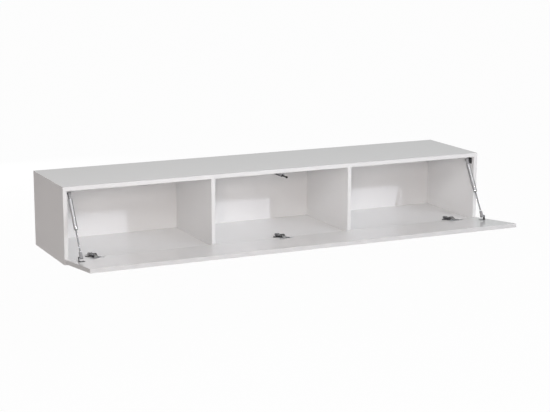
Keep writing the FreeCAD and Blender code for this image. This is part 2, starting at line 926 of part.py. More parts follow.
def back_panel_screws():
    """Screws through the back panel into the rear edge of each divider."""
    screws = []
    for x in upright_middle[1:-1]:
        for i in range(back_screws_per_upright):
            z = board + back_screw_low + i * back_screw_pitch
            screws.append(wood_screw(Vector(x, -back_recess, z), y_axis * -1))
    return screws


def horizontal_board(low, fasteners, groove_side):
    """The top or bottom board, grooved on the inside for the back panel."""
    y0, y1 = back_groove_y()
    reach = width / 2 - board + groove_depth
    panel = block(-width / 2, width / 2, board_front, 0, low, low + board)
    z = low + board - groove_depth if groove_side > 0 else low
    groove = block(-reach, reach, y0, y1, z, z + groove_depth)
    return panel.cut([groove] + fasteners)


def upright_board(i, fasteners):
    """A side or a divider: a divider stops at the back panel, a side is grooved for it."""
    x0 = upright_left[i]
    divider = 0 < i < bays
    rear = back_front if divider else 0
    panel = block(x0, x0 + board, board_front, rear, board, under_top)
    if divider:
        return panel.cut(fasteners)
    y0, y1 = back_groove_y()
    inner = x0 + board - groove_depth if i == 0 else x0
    groove = block(inner, inner + groove_depth, y0, y1, board, under_top)
    return panel.cut([groove] + fasteners)


def back_panel(screws):
    """The thin back, held in grooves and cut out round the four hangers."""
    reach = width / 2 - board + groove_depth - groove_slack
    low = board - groove_depth + groove_slack
    high = under_top + groove_depth - groove_slack
    panel = block(-reach, reach, back_front, -back_recess, low, high)
    cutout = block(0, cutout_width, back_front, 0, under_top - cutout_height, under_top)
    cutouts = [at_hanger(cutout, face_x, way) for _, face_x, way in hanger_places()]
    return panel.cut(cutouts + screws)


def front_edge_bands():
    """The glued bands on the front edges of all the boards."""
    bands = [
        block(-width / 2, width / 2, front, board_front, 0, board),
        block(-width / 2, width / 2, front, board_front, under_top, height),
    ]
    bands += [block(x, x + board, front, board_front, board, under_top) for x in upright_left]
    return bands


def flap_panel(screws):
    """The full-width flap, bored for the hinge cups."""
    panel = block(-width / 2, width / 2, -flap_board, 0, 0, flap_height)
    eased = panel.makeFillet(flap_arris, [e for e in panel.Edges if e.BoundBox.YMax < -flap_board / 2])
    bores = [
        Part.makeCylinder(cup_radius + cup_bore_clearance, cup_bore_depth, Vector(x, 0, cup_centre), y_axis * -1)
        for x in hinge_x()
    ]
    return on_flap(eased.cut(bores + screws))


def flap_screws():
    """Every wood screw in the flap, in the flap's frame."""
    screws = []
    for x in hinge_x():
        screws += [s.translated(Vector(x, 0, 0)) for s in cup_screws()]
    left = foot_screws()
    return screws + left + [mirrored(s) for s in left]


# ---- Writing the pieces ----
def save(node, pieces):
    """Writes one node, a single solid or a group of them, in the row's frame."""
    solids = pieces if isinstance(pieces, list) else [pieces]
    shape = solids[0] if len(solids) == 1 else Part.makeCompound(solids)
    moved = shape.translated(Vector(0, 0, -origin_z))
    moved.exportStep("parts/" + node + ".step")


def save_pair(node, left):
    save("left_" + node, left)
    save("right_" + node, mirrored(left))


def save_carcass():
    joints = joint_pieces()
    screws = hardware_screws()
    tools = joints["dowels"] + joints["confirmat_screws"] + joints["cam_bolts"] + joints["cam_spaces"]
    save("top_panel", horizontal_board(under_top, tools + screws, -1))
    save("bottom_panel", horizontal_board(0, tools + screws + joints["confirmat_caps"], 1))
    for i, name in enumerate(upright_names):
        save(name, upright_board(i, tools + screws))
    save("back_panel", back_panel(back_panel_screws()))
    save("front_edge_bands", front_edge_bands())
    for node in ("dowels", "confirmat_screws", "cam_bolts", "cam_locks"):
        save(node, joints[node])
    save("cover_caps", joints["cam_caps"] + joints["confirmat_caps"])
    save("carcass_wood_screws", screws)


def save_hangers():
    places = hanger_places()
    for name, face_x, way in places:
        save(name + "_hanger", at_hanger(hanger_body(), face_x, way))
    for node, make in (("hanger_hooks", hanger_hook), ("hanger_covers", hanger_cover), ("wall_plates", wall_plate)):
        save(node, [at_hanger(make(), face_x, way) for _, face_x, way in places])
    adjusters = [at_hanger(a, face_x, way) for _, face_x, way in places for a in hanger_adjusters()]
    save("hanger_adjusting_screws", adjusters)


def save_hinges():
    moved = [(name, Vector(x, 0, 0)) for name, x in zip(hinge_names, hinge_x())]
    for name, place in moved:
        save(name + "_hinge_plate", hinge_plate().translated(place))
        save(name + "_hinge_arm", hinge_arm().translated(place))
        save(name + "_hinge_link", hinge_link().translated(place))
        save(name + "_hinge_cup", on_flap(hinge_cup()).translated(place))
    save("hinge_arm_screws", [s.translated(place) for _, place in moved for s in arm_screws()])
    save("hinge_arm_pins", [arm_pivot_pin().translated(place) for _, place in moved])
    save("hinge_cup_pins", [on_flap(cup_pin()).translated(place) for _, place in moved])


def save_flap():
    screws = flap_screws()
    save("flap_panel", flap_panel(screws))
    save("flap_wood_screws", [on_flap(s) for s in screws])
    save_pair("strut_foot_bracket", on_flap(foot_bracket()))


def save_struts():
    save_pair("strut_side_mount", strut_side_mount())
    save_pair("strut_top_stud", strut_top_stud())
    save_pair("strut_tube", strut_tube().fuse(strut_tube_stub()).removeSplitter())
    save_pair("strut_tube_socket", strut_tube_socket())
    save_pair("strut_rod", strut_rod())
    save_pair("strut_rod_socket", strut_rod_socket())
    save_pair("strut_foot_stud", strut_foot_stud())


def save_latch():
    save("latch_body", latch_body())
    save("latch_holder", latch_holder())
    save("latch_plunger", latch_plunger())
    save("latch_tip", latch_tip())


def print_motion():
    """The pivots, axes and travels of the joints, in the row's frame."""
    total = math.radians(open_angle) + link_turn()
    shorter = strut_length(False) - strut_length(True)
    pivot = world(arm_pin()) - Vector(0, 0, origin_z)
    pin = world(open_place(cup_pin_along, -cup_pin_depth)) - Vector(0, 0, origin_z)
    top = strut_start - Vector(0, 0, origin_z)
    print("arm pin y z", pivot.y, pivot.z)
    print("cup pin y z", pin.y, pin.z)
    print("link turn deg", math.degrees(link_turn()))
    print("flap joint deg", math.degrees(total))
    print("strut top x y z", top.x, top.y, top.z)
    print("strut turn deg", math.degrees(strut_turn()))
    print("strut way y z", strut_way.y, strut_way.z)
    print("strut travel", shorter)
    print("strut open and shut length", strut_length(False), strut_length(True))
    print("plunger travel", plunger_travel())
    print("origin above underside", origin_z)


os.makedirs("parts", exist_ok=True)
save_carcass()
save_hangers()
save_hinges()
save_flap()
save_struts()
save_latch()
print_motion()
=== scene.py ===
"""Finishes, small fittings and stage of a wall-hung media console with a drop flap.

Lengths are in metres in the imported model's frame, except where a name, a comment or the MM
beside them says millimetres.
"""

import json
import math

import bmesh
import bpy
from bpy.props import FloatProperty, FloatVectorProperty, PointerProperty, StringProperty
from bpy.types import Operator, Panel, PropertyGroup
from mathutils import Matrix, Vector


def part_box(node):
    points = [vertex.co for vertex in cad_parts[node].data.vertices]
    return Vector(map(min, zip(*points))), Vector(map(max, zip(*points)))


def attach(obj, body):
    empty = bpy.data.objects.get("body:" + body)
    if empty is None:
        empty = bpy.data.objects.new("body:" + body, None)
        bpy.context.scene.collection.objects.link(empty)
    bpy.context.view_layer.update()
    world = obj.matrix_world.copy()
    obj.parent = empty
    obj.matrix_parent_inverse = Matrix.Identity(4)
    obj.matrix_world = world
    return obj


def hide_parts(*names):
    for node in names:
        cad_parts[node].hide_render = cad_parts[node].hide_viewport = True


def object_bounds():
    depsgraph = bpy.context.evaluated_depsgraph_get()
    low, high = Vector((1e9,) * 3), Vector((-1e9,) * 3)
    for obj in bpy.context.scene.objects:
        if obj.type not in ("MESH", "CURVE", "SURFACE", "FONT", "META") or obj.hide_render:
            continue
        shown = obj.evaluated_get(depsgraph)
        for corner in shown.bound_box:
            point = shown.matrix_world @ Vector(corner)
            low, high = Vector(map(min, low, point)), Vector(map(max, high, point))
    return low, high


bl_info = {
    "name": "Floating media console",
    "version": (1, 0, 0),
    "blender": (4, 5, 0),
    "location": "3D View > Sidebar > Console",
    "description": "Finishes, fittings and stage of a wall-hung media console with a drop flap",
    "category": "Object",
}

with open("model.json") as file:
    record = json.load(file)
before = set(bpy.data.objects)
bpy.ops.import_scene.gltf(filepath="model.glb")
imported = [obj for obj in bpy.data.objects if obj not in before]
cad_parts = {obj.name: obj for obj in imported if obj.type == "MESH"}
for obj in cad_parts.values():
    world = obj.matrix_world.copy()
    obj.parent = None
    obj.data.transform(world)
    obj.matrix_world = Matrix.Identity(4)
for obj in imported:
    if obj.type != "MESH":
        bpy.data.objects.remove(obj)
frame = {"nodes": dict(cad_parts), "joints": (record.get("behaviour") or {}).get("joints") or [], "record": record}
CAD_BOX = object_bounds()
NODES = frame["nodes"]
PARTS = {part["node"]: part for part in frame["record"]["subparts"]}
BODY_OF = {
    node: body for body, nodes in frame["record"]["behaviour"]["bodies"].items() for node in nodes
}
JOINTS = {joint["name"]: joint for joint in frame["joints"]}
MM = 0.001
SIDES = ("left", "right")
HINGES = ("left", "middle", "right")


# ---- Colours and materials ----
# A noise pattern hardly leaves this range, so the ends of a shade or gloss are reached at it.
NOISE_LOW, NOISE_HIGH = 0.3, 0.7


def linear(hex_colour):
    """An sRGB hex colour, such as "E6E6E4", as linear red, green, blue and alpha."""
    levels = [int(hex_colour[i:i + 2], 16) / 255 for i in (0, 2, 4)]
    return [v / 12.92 if v <= 0.04045 else ((v + 0.055) / 1.055) ** 2.4 for v in levels] + [1.0]


def add_node(tree, kind, inputs=None, **settings):
    """Adds a node, sets its settings, and sets or links its inputs."""
    node = tree.nodes.new(kind)
    for name, value in settings.items():
        setattr(node, name, value)
    for socket, value in (inputs or {}).items():
        if isinstance(value, bpy.types.NodeSocket):
            tree.links.new(value, node.inputs[socket])
        else:
            node.inputs[socket].default_value = value
    return node


def new_material(name):
    """A material with an empty node tree."""
    material = bpy.data.materials.new(name)
    material.use_nodes = True
    material.node_tree.nodes.clear()
    return material, material.node_tree


def object_noise(tree, size, detail=2.0, stretch=(1, 1, 1)):
    """Noise on object coordinates whose features are about size millimetres across."""
    where = add_node(tree, "ShaderNodeTexCoord").outputs["Object"]
    scale = [s / (size * MM) for s in stretch]
    scaled = add_node(tree, "ShaderNodeMapping", {"Vector": where, "Scale": scale})
    noise = {"Vector": scaled.outputs["Vector"], "Scale": 1.0, "Detail": detail}
    return add_node(tree, "ShaderNodeTexNoise", noise).outputs["Fac"]


def lay_finish(tree, shades, tone, gloss, haze, relief=None, depth=0.0, strength=1.0, **constants):
    """Wires a finish from patterns that run from 0 to 1.

    The colour drifts between two shades over tone, and the roughness between two values of gloss
    over haze. Where tone or haze is None, the shade or the gloss is a single value. relief bumps
    the surface by about depth millimetres, and constants are the sockets that stay the same.
    """
    inputs = {socket.replace("_", " "): value for socket, value in constants.items()}
    if tone is None:
        inputs["Base Color"] = linear(shades)
    else:
        ends = {"Factor": tone, "A": linear(shades[0]), "B": linear(shades[1])}
        mix = add_node(tree, "ShaderNodeMix", ends, data_type="RGBA")
        inputs["Base Color"] = mix.outputs["Result"]
    if haze is None:
        inputs["Roughness"] = gloss
    else:
        spread = {
            "Value": haze, "From Min": NOISE_LOW, "From Max": NOISE_HIGH, "To Min": gloss[0],
            "To Max": gloss[1],
        }
        inputs["Roughness"] = add_node(tree, "ShaderNodeMapRange", spread).outputs["Result"]
    if relief is not None:
        bumps = {"Height": relief, "Distance": depth * MM, "Strength": strength}
        inputs["Normal"] = add_node(tree, "ShaderNodeBump", bumps).outputs["Normal"]
    shader = add_node(tree, "ShaderNodeBsdfPrincipled", inputs)
    add_node(tree, "ShaderNodeOutputMaterial", {"Surface": shader.outputs["BSDF"]})


def gloss_lacquer(*shades):
    """White polyester lacquer, sprayed and polished on particle board: mirror gloss with a
    faint orange peel, waves of about 6 mm, that makes long reflections shiver a little."""
    material, tree = new_material("polished_polyester_lacquer")
    lay_finish(
        tree, shades, object_noise(tree, 350), (0.07, 0.10), object_noise(tree, 50),
        relief=object_noise(tree, 6, 1.0), depth=0.01, strength=0.5, IOR=1.5,
    )
    return material


def edge_banding(*shades):
    """Gloss ABS edge band, extruded and buffed after gluing: a little softer than the lacquer,
    with faint streaks 2 mm wide and 100 mm long along the board."""
    material, tree = new_material("buffed_abs_edge_band")
    streaks = object_noise(tree, 2, stretch=(0.02, 1, 1))
    lay_finish(tree, shades, object_noise(tree, 120), (0.12, 0.20), streaks, IOR=1.52)
    return material


def lacquered_hardboard(*shades):
    """White-faced 3 mm hardboard: gloss film over pressed fibre, so slightly uneven, with soft
    waves of about 12 mm."""
    material, tree = new_material("film_faced_hardboard")
    lay_finish(
        tree, shades, object_noise(tree, 250), (0.16, 0.24), object_noise(tree, 30),
        relief=object_noise(tree, 12), depth=0.02, strength=0.5, IOR=1.5,
    )
    return material


def plated_steel(name, shades, gloss):
    """Zinc or nickel plate or black oxide on steel, or bare cast zinc: metal whose gloss is
    cloudy, in clouds of 4 to 6 mm, over faint bumps 0.8 mm across."""
    material, tree = new_material(name)
    lay_finish(
        tree, shades, object_noise(tree, 6), gloss, object_noise(tree, 4),
        relief=object_noise(tree, 0.8), depth=0.03, strength=0.4, Metallic=1.0,
    )
    return material


def spangled_zinc(*shades):
    """Hot-dip galvanised sheet: flat crystals about 4 mm across that catch light differently."""
    material, tree = new_material("hot_dip_galvanised_steel")
    where = add_node(tree, "ShaderNodeTexCoord").outputs["Object"]
    cells = add_node(tree, "ShaderNodeTexVoronoi", {"Vector": where, "Scale": 1 / (4 * MM)})
    split = add_node(tree, "ShaderNodeSeparateColor", {"Color": cells.outputs["Color"]})
    crystal = split.outputs["Red"]
    lay_finish(tree, shades, crystal, (0.32, 0.5), crystal, Metallic=1.0)
    return material


def turned_steel(name, colour, gloss):
    """Ground and polished round steel: an even colour, with gloss in clouds of about 1 mm."""
    material, tree = new_material(name)
    lay_finish(tree, colour, None, gloss, object_noise(tree, 1.2, 1.0), Metallic=1.0)
    return material


def drawn_tube(*shades):
    """Bright drawn tube, nickel plated, with a clean highlight down its length. Its sides darken through the
    near-black tint at grazing angles: painted shade, for the dark that the sides mirror."""
    material, tree = new_material("bright_drawn_tube")
    lay_finish(
        tree, shades, object_noise(tree, 10), (0.10, 0.15), object_noise(tree, 3),
        Metallic=1.0, Specular_Tint=linear("0E0E10"),
    )
    return material


def moulded_plastic(name, shades, gloss, grain, depth):
    """Injection moulded plastic or rubber with a spark-eroded texture, grain millimetres wide
    and depth millimetres deep: it breaks highlights up finely."""
    material, tree = new_material(name)
    lay_finish(
        tree, shades, object_noise(tree, 10), gloss, object_noise(tree, 3),
        relief=object_noise(tree, grain), depth=depth, strength=0.6, IOR=1.49,
    )
    return material


def powder_coat(name, shades, gloss):
    """Baked powder coat on pressed steel: even, with a fine pebble of about 0.6 mm."""
    material, tree = new_material(name)
    lay_finish(
        tree, shades, object_noise(tree, 20), gloss, object_noise(tree, 4),
        relief=object_noise(tree, 0.6, 1.0), depth=0.04, strength=0.5, IOR=1.5,
    )
    return material


def turned_beech(*shades):
    """Turned beech dowel: pale wood with dark flecks 1.5 mm wide and 10 mm long along the grain."""
    material, tree = new_material("turned_beech")
    grain = object_noise(tree, 1.5, 3.0, (1, 1, 0.15))
    lay_finish(tree, shades, grain, 0.6, None)
    return material


def finishes():
    """Every finish of the console, by the frame's material slot."""
    chosen = bpy.context.scene.console_finishes
    return {
        "white_gloss_board": gloss_lacquer(chosen.lacquer_hex, chosen.lacquer_shade_hex),
        # The edge bands are greyer than the lacquer: partly their own ABS, partly painted shade on the front
        # edges, which the lamps light most.
        "white_edge_band": edge_banding(chosen.edge_band_painted_shade_hex, chosen.edge_band_buffed_less_painted_shade_hex),
        "white_back_board": lacquered_hardboard(chosen.back_hex, chosen.lacquer_shade_hex),
        "beech": turned_beech("D9B98C", "B98F5E"),
        "white_cap": moulded_plastic(
            "moulded_white_abs", ("E9E9E7", "E4E4E2"), (0.28, 0.36), grain=0.7, depth=0.01
        ),
        "white_plastic": moulded_plastic(
            "moulded_white_abs_cover", ("E7E7E5", "E2E2E0"), (0.3, 0.4), grain=0.7, depth=0.02
        ),
        "zinc_screw": plated_steel("bright_zinc_plate", ("C9CBCD", "B9BBBE"), (0.25, 0.38)),
        "cast_zinc": plated_steel("die_cast_zinc", ("A5A7A9", "8F9194"), (0.4, 0.55)),
        "galvanised_steel": spangled_zinc("A9ACAE", "C4C6C8"),
        # The hinge is painted darker than its plating, the plates and arms near black and the nickel finish a mid
        # grey, for the dark that the nickel mirrors: painted reflection.
        "dark_hinge_metal": plated_steel(
            "nickel_plate_painted_dark_reflection", (chosen.hinge_painted_reflection_hex, "6A6A6C"), (0.16, 0.26)
        ),
        "nickel_hinge_metal": plated_steel(
            "nickel_plate_painted_dim_reflection", ("969695", "888887"), (0.14, 0.24)
        ),
        "pin_steel": turned_steel("ground_pin_steel", "B4B4B6", (0.2, 0.32)),
        "bracket_metal": powder_coat(
            "dark_powder_coat", (chosen.bracket_hex, "3E3E41"), (0.35, 0.5)
        ),
        "strut_tube_metal": drawn_tube("D2D2D4", "C8C8CB"),
        # The chrome is a darker grey than bare chrome, for the dark that the rod mirrors: painted reflection.
        "chrome_rod": turned_steel("hard_chrome", "A2A2A5", (0.06, 0.12)),
        "grey_plastic": moulded_plastic(
            "glass_filled_nylon", (chosen.socket_hex, "909092"), (0.4, 0.55), grain=0.9, depth=0.04
        ),
        "dark_plastic": moulded_plastic(
            "moulded_acetal", ("2C2C2E", "3A3A3C"), (0.35, 0.5), grain=0.8, depth=0.03
        ),
        "black_rubber": moulded_plastic(
            "soft_rubber", ("141415", "1D1D1E"), (0.65, 0.8), grain=0.8, depth=0.03
        ),
        "dark_metal": plated_steel("black_oxide_rod", ("3B3B3D", "2C2C2E"), (0.28, 0.4)),
    }


class ConsoleFinishes(PropertyGroup):
    """Colours of the console, each an sRGB hex value."""

    lacquer_hex: StringProperty(
        name="Lacquer", description="Colour of the lacquered boards", default="F4F4F4"
    )
    lacquer_shade_hex: StringProperty(
        name="Lacquer shade", description="The lacquer where its film is a little thinner",
        default="F2F2F2",
    )
    # The edge bands are greyer than the lacquer: partly their own ABS, partly painted shade on the front edges,
    # which the lamps light most.
    edge_band_painted_shade_hex: StringProperty(
        name="Edge band", description="Colour of the front edge bands", default="E1E1E1"
    )
    edge_band_buffed_less_painted_shade_hex: StringProperty(
        name="Edge band shade", description="The front edge bands where they are buffed less",
        default="DFDFDF",
    )
    # The flap's free edge band and outer face are set greyer than the other bands and the lacquer: painted shade.
    flap_edge_painted_shade_hex: StringProperty(
        name="Flap edge band", description="Colour of the band along the flap's free edge",
        default="D0D0D0",
    )
    flap_edge_buffed_less_painted_shade_hex: StringProperty(
        name="Flap edge band shade", description="The free edge's band where it is buffed less",
        default="CECECE",
    )
    flap_face_painted_shade_hex: StringProperty(
        name="Flap face", description="Colour of the flap's outer face", default="E2E2E2"
    )
    flap_face_thin_film_painted_shade_hex: StringProperty(
        name="Flap face shade",
        description="The flap's outer face where its film is a little thinner", default="E0E0E0",
    )
    back_hex: StringProperty(
        name="Back", description="Colour of the back panel", default="F3F3F3"
    )
    # The hinge colour is painted dark for the dark that the nickel plates and arms mirror: painted reflection.
    hinge_painted_reflection_hex: StringProperty(
        name="Hinge", description="Colour of the hinge plates and arms", default="545456"
    )
    bracket_hex: StringProperty(
        name="Bracket", description="Colour of the strut brackets", default="343436"
    )
    socket_hex: StringProperty(
        name="Strut ends", description="Colour of the strut end fittings", default="9A9A9C"
    )


class ConsoleSizes(PropertyGroup):
    """How far the edges of the console's pieces are rounded off."""

    board_ease: FloatProperty(
        name="Board edges", description="Rounding of the boards' arrises", default=0.0006,
        unit="LENGTH", precision=5,
    )
    flap_ease: FloatProperty(
        name="Flap edges", description="Rounding of the flap's arrises", default=0.0005,
        unit="LENGTH", precision=5,
    )
    fitting_ease: FloatProperty(
        name="Fitting edges", description="Rounding of pressed and moulded edges", default=0.0002,
        unit="LENGTH", precision=5,
    )
    screw_ease: FloatProperty(
        name="Screw edges", description="Rounding of the screw heads' rims", default=0.00012,
        unit="LENGTH", precision=5,
    )


class ConsoleStage(PropertyGroup):
    """Places of the camera and the floor."""

    lens: FloatProperty(
        name="Lens", description="Focal length on a 36 mm sensor, in millimetres", default=99.73
    )
    camera_place: FloatVectorProperty(
        name="Camera", description="Where the camera stands", default=(-2.5303, -5.7164, 1.1310),
        unit="LENGTH",
    )
    camera_pan: FloatProperty(
        name="Pan", description="How far the camera is turned to its right",
        default=math.radians(25.073), unit="ROTATION",
    )
    camera_tilt: FloatProperty(
        name="Tilt", description="How far the camera looks down", default=math.radians(11.624),
        unit="ROTATION",
    )
    floor_drop: FloatProperty(
        name="Floor", description="How far the floor lies below the console", default=0.55,
        unit="LENGTH",
    )


# ---- Making pieces ----
# Faces that meet at more than these degrees have an arris between them that is rounded off, or
# are shaded with a crease.
ARRIS, CREASE = 35.0, 40.0
SAME_PLACE = 1e-6
LATHE_STEPS = 48
MADE = {}


def finish_of(slot):
    """The made material of a slot; all are made the first time that one is asked for."""
    if not MADE:
        MADE.update(finishes())
    return MADE[slot]


def merged(name):
    """A node's mesh with its triangles joined and its flat areas made whole again."""
    shape = bmesh.new()
    shape.from_mesh(NODES[name].data)
    bmesh.ops.remove_doubles(shape, verts=shape.verts, dist=SAME_PLACE)
    bmesh.ops.dissolve_limit(
        shape, angle_limit=math.radians(0.5), verts=shape.verts, edges=shape.edges
    )
    return shape


def arrises(shape):
    """The edges at which two faces meet sharply."""
    least = math.radians(ARRIS)
    return [e for e in shape.edges if len(e.link_faces) == 2 and e.calc_face_angle() > least]


def placed(shape, name, body, slot, stands_for=()):
    """Turns a bmesh into a finished piece on a body, smooth except at its creases."""
    bmesh.ops.recalc_face_normals(shape, faces=shape.faces)
    mesh = bpy.data.meshes.new(name)
    shape.to_mesh(mesh)
    shape.free()
    mesh.shade_smooth()
    mesh.set_sharp_from_angle(angle=math.radians(CREASE))
    mesh.materials.append(finish_of(slot))
    piece = bpy.data.objects.new(name, mesh)
    bpy.context.scene.collection.objects.link(piece)
    even = piece.modifiers.new("even_flats", "WEIGHTED_NORMAL")
    even.keep_sharp = True
    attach(piece, body)
    if stands_for:
        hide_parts(*stands_for)
    return piece


def rounded(shape, edges, ease):
    """Rounds edges off over ease metres on each side."""
    bmesh.ops.bevel(
        shape, geom=edges, offset=ease, offset_type="OFFSET", segments=2, profile=0.5,
        affect="EDGES", clamp_overlap=True, material=-1,
    )


def eased(name, ease, slot=None):
    """Stands for a node with its arrises rounded off by ease metres."""
    shape = merged(name)
    rounded(shape, arrises(shape), ease)
    slot = slot or PARTS[name]["material_slot"]
    return placed(shape, name + "_eased", BODY_OF[name], slot, (name,))


def lathed(outline, start, way):
    """Spins an outline of (radius, distance) in millimetres about way, from start."""
    shape = bmesh.new()
    verts = [shape.verts.new((radius * MM, 0, along * MM)) for radius, along in outline]
    edges = [shape.edges.new(pair) for pair in zip(verts, verts[1:])]
    bmesh.ops.spin(
        shape, geom=verts + edges, cent=(0, 0, 0), axis=(0, 0, 1), dvec=(0, 0, 0),
        angle=2 * math.pi, steps=LATHE_STEPS, use_merge=True, use_duplicate=False,
    )
    bmesh.ops.remove_doubles(shape, verts=shape.verts, dist=SAME_PLACE / 10)
    turn = Vector(way).to_track_quat("Z", "X").to_matrix().to_4x4()
    bmesh.ops.transform(shape, matrix=Matrix.Translation(start) @ turn, verts=shape.verts)
    return shape


def islands(shape):
    """The separate lumps of a bmesh, each as the places of its corners."""
    lumps, seen = [], set()
    for first in shape.verts:
        if first in seen:
            continue
        seen.add(first)
        waiting, lump = [first], []
        while waiting:
            vert = waiting.pop()
            lump.append(vert.co.copy())
            near = [edge.other_vert(vert) for edge in vert.link_edges]
            fresh = [other for other in near if other not in seen]
            seen.update(fresh)
            waiting.extend(fresh)
        lumps.append(lump)
    return lumps


def head_centre(lump, way):
    """The middle of a screw's head: what lies within 0.1 mm of its farthest point along way."""
    top = max(place.dot(way) for place in lump)
    head = [place for place in lump if place.dot(way) > top - 0.1 * MM]
    return sum(head, Vector()) / len(head)


def head_and_way(lump, way=None):
    """The middle of a screw's head and the way it faces, which its tip tells if not given."""
    if way:
        return head_centre(lump, way), way
    middle = sum(lump, Vector()) / len(lump)
    tip = max(lump, key=lambda place: (place - middle).length)
    centre = head_centre(lump, (middle - tip).normalized())
    return centre, (centre - tip).normalized()


def cross_cutter(shape, centre, way, recess):
    """Adds the tapered cross that a driver's tip fills, sunk below a screw's head. recess is the
    cross's span, the width of its arms and its depth, in millimetres."""
    span, arm, depth = (size * MM for size in recess)
    above = 0.3 * MM
    taper = 0.45
    flare = 1 + (1 - taper) * above / depth
    half, side = flare * span / 2, flare * arm / 2
    corners = (
        (half, -side), (half, side), (side, side), (side, half), (-side, half), (-side, side),
        (-half, side), (-half, -side), (-side, -side), (-side, -half), (side, -half),
        (side, -side),
    )
    place = Matrix.Translation(centre) @ way.to_track_quat("Z", "X").to_matrix().to_4x4()
    level = shape.faces.new([shape.verts.new((x, y, above)) for x, y in corners])
    sunk = bmesh.ops.extrude_face_region(shape, geom=[level], use_keep_orig=True)["geom"]
    foot = [item for item in sunk if isinstance(item, bmesh.types.BMVert)]
    bmesh.ops.translate(shape, vec=(0, 0, -above - depth), verts=foot)
    bmesh.ops.scale(shape, vec=(taper / flare, taper / flare, 1), verts=foot)
    bmesh.ops.transform(shape, matrix=place, verts=list(level.verts) + foot)


def cut_away(piece, cutters):
    """Takes the shape of cutters out of a piece for good."""
    bmesh.ops.recalc_face_normals(cutters, faces=cutters.faces)
    mesh = bpy.data.meshes.new("cross_cutters")
    cutters.to_mesh(mesh)
    cutters.free()
    tool = bpy.data.objects.new("cross_cutters", mesh)
    bpy.context.scene.collection.objects.link(tool)
    piece.modifiers.clear()
    cut = piece.modifiers.new("recess", "BOOLEAN")
    cut.operation = "DIFFERENCE"
    cut.solver = "EXACT"
    cut.object = tool
    bpy.context.view_layer.update()
    graph = bpy.context.evaluated_depsgraph_get()
    result = bpy.data.meshes.new_from_object(piece.evaluated_get(graph))
    piece.modifiers.clear()
    piece.data = result
    bpy.data.objects.remove(tool)


def recessed_screws(name, ease, recess, way=None):
    """Stands for a node of screws: eased, with a cross recess sunk into each head."""
    shape = merged(name)
    heads = [head_and_way(lump, way) for lump in islands(shape)]
    rounded(shape, arrises(shape), ease)
    slot = PARTS[name]["material_slot"]
    screws = placed(shape, name + "_recessed", BODY_OF[name], slot, (name,))
    cutters = bmesh.new()
    for centre, facing in heads:
        cross_cutter(cutters, centre, facing, recess)
    cut_away(screws, cutters)
    screws.data.set_sharp_from_angle(angle=math.radians(ARRIS))


# ---- The console's pieces ----
BOARDS = (
    "top_panel", "bottom_panel", "left_side_panel", "left_divider", "right_divider",
    "right_side_panel",
)
FITTINGS = tuple(
    f"{place}_hinge_{part}" for place in HINGES for part in ("plate", "arm", "link", "cup")
) + tuple(
    f"{side}_strut_{part}" for side in SIDES for part in (
        "side_mount", "foot_bracket", "top_stud", "foot_stud", "tube_socket", "rod_socket", "rod",
    )
) + (
    "latch_body", "latch_holder", "latch_plunger", "latch_tip", "cover_caps", "wall_plates",
    "hanger_hooks", "hanger_covers", "left_side_hanger", "left_divider_hanger",
    "right_divider_hanger", "right_side_hanger", "hinge_arm_pins", "hinge_cup_pins",
)
# The cross recesses' span, arm width and depth in millimetres.
WOOD_SCREW_RECESS = (3.6, 1.0, 1.3)
ARM_SCREW_RECESS = (4.0, 1.1, 1.2)


class CONSOLE_OT_finish_nodes(Operator):
    """Gives every piece of the console its finish"""

    bl_idname = "console.finish_nodes"
    bl_label = "Finish the console"

    def execute(self, context):
        for name, part in PARTS.items():
            mesh = NODES[name].data
            mesh.materials.clear()
            mesh.materials.append(finish_of(part["material_slot"]))
        return {"FINISHED"}


def clear_of(edges, level):
    """The edges that don't lie in the upright plane y = level."""
    return [e for e in edges if any(abs(v.co.y - level) > 10 * SAME_PLACE for v in e.verts)]


class CONSOLE_OT_boards(Operator):
    """Rounds the arrises of the carcass boards, all but those that the edge bands cover"""

    bl_idname = "console.boards"
    bl_label = "Carcass boards"

    def execute(self, context):
        for name in BOARDS:
            shape = merged(name)
            edges = clear_of(arrises(shape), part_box(name)[0].y)
            rounded(shape, edges, context.scene.console_sizes.board_ease)
            placed(shape, name + "_eased", "carcass", "white_gloss_board", (name,))
        return {"FINISHED"}


class CONSOLE_OT_edge_bands(Operator):
    """Covers the front edge of each carcass board with its glued and rounded band"""

    bl_idname = "console.edge_bands"
    bl_label = "Edge bands"

    def execute(self, context):
        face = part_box("front_edge_bands")[0].y
        shape = bmesh.new()
        for name in BOARDS:
            low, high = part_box(name)
            size = Vector((high.x - low.x, low.y - face, high.z - low.z))
            middle = Vector((low.x + high.x, low.y + face, low.z + high.z)) / 2
            place = Matrix.Translation(middle) @ Matrix.Diagonal(size.to_4d())
            bmesh.ops.create_cube(shape, size=1.0, matrix=place)
        edges = clear_of(shape.edges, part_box("top_panel")[0].y)
        rounded(shape, edges, context.scene.console_sizes.board_ease)
        placed(
            shape, "front_edge_bands_eased", "carcass", "white_edge_band", ("front_edge_bands",)
        )
        return {"FINISHED"}


